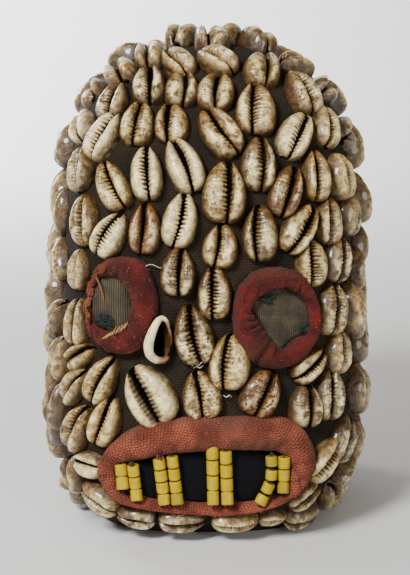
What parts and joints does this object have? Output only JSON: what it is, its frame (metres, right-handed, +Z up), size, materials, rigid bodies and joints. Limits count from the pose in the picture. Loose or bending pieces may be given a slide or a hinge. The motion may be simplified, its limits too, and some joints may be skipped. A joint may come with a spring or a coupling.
{
  "type": "bamileke crest mask",
  "caption": "Hollow cloth helmet mask sewn all over with cowrie shells, with padded cloth eye rings and lips and strings of yellow glass beads as teeth.",
  "frame": {"origin": "middle of the flat underside of the rim, where the mask stands", "axes": "+Z up through the crown, the face looks along -Y, +X to the right as seen from the front"},
  "size_m": [0.1467, 0.1575, 0.2149],
  "materials": {
    "body_cloth": "coarse woven plant fibre cloth, dusty",
    "shell": "worn glossy cowrie shell, brown stained in the grooves",
    "ring_cloth": "faded dark red cotton, padded and gathered",
    "eye_cloth": "grey brown knitted cotton",
    "lip_cloth": "terracotta cotton, padded, ribbed weave",
    "mouth_cloth": "black felted cloth",
    "bead_glass": "opaque yellow glass, slightly uneven gloss"
  },
  "bodies": {
    "root": {"bead_string_1_bead_1": "bead_glass", "bead_string_1_bead_2": "bead_glass", "bead_string_2_bead_1": "bead_glass", "bead_string_2_bead_2": "bead_glass", "bead_string_2_bead_3": "bead_glass", "bead_string_3_bead_1": "bead_glass", "bead_string_3_bead_2": "bead_glass", "bead_string_3_bead_3": "bead_glass", "bead_string_3_bead_4": "bead_glass", "bead_string_4_bead_1": "bead_glass", "bead_string_4_bead_2": "bead_glass", "bead_string_4_bead_3": "bead_glass", "bead_string_4_bead_4": "bead_glass", "bead_string_5_bead_1": "bead_glass", "bead_string_5_bead_2": "bead_glass", "bead_string_5_bead_3": "bead_glass", "bead_string_5_bead_4": "bead_glass", "bead_string_6_bead_1": "bead_glass", "bead_string_6_bead_2": "bead_glass", "bead_string_6_bead_3": "bead_glass", "bead_string_6_bead_4": "bead_glass", "bead_string_7_bead_1": "bead_glass", "bead_string_7_bead_2": "bead_glass", "bead_string_7_bead_3": "bead_glass", "bead_string_7_bead_4": "bead_glass", "bead_string_8_bead_1": "bead_glass", "bead_string_8_bead_2": "bead_glass", "bead_string_8_bead_3": "bead_glass", "broken_cowrie": "shell", "brow_cowrie_1": "shell", "brow_cowrie_2": "shell", "brow_cowrie_3": "shell", "brow_cowrie_4": "shell", "brow_cowrie_5": "shell", "cheek_cowrie_1": "shell", "cheek_cowrie_2": "shell", "cheek_cowrie_3": "shell", "cloth_head": "body_cloth", "eye_cloth_left": "eye_cloth", "eye_cloth_right": "eye_cloth", "eye_ring_left": "ring_cloth", "eye_ring_right": "ring_cloth", "forehead_cowrie_1": "shell", "forehead_cowrie_2": "shell", "forehead_cowrie_3": "shell", "forehead_cowrie_4": "shell", "forehead_cowrie_5": "shell", "forehead_cowrie_6": "shell", "forehead_cowrie_7": "shell", "forehead_cowrie_8": "shell", "forehead_cowrie_9": "shell", "lips": "lip_cloth", "mouth_cloth": "mouth_cloth", "nose_cowrie_1": "shell", "nose_cowrie_2": "shell", "nose_cowrie_3": "shell", "nose_cowrie_4": "shell"}
  },
  "joints": []
}
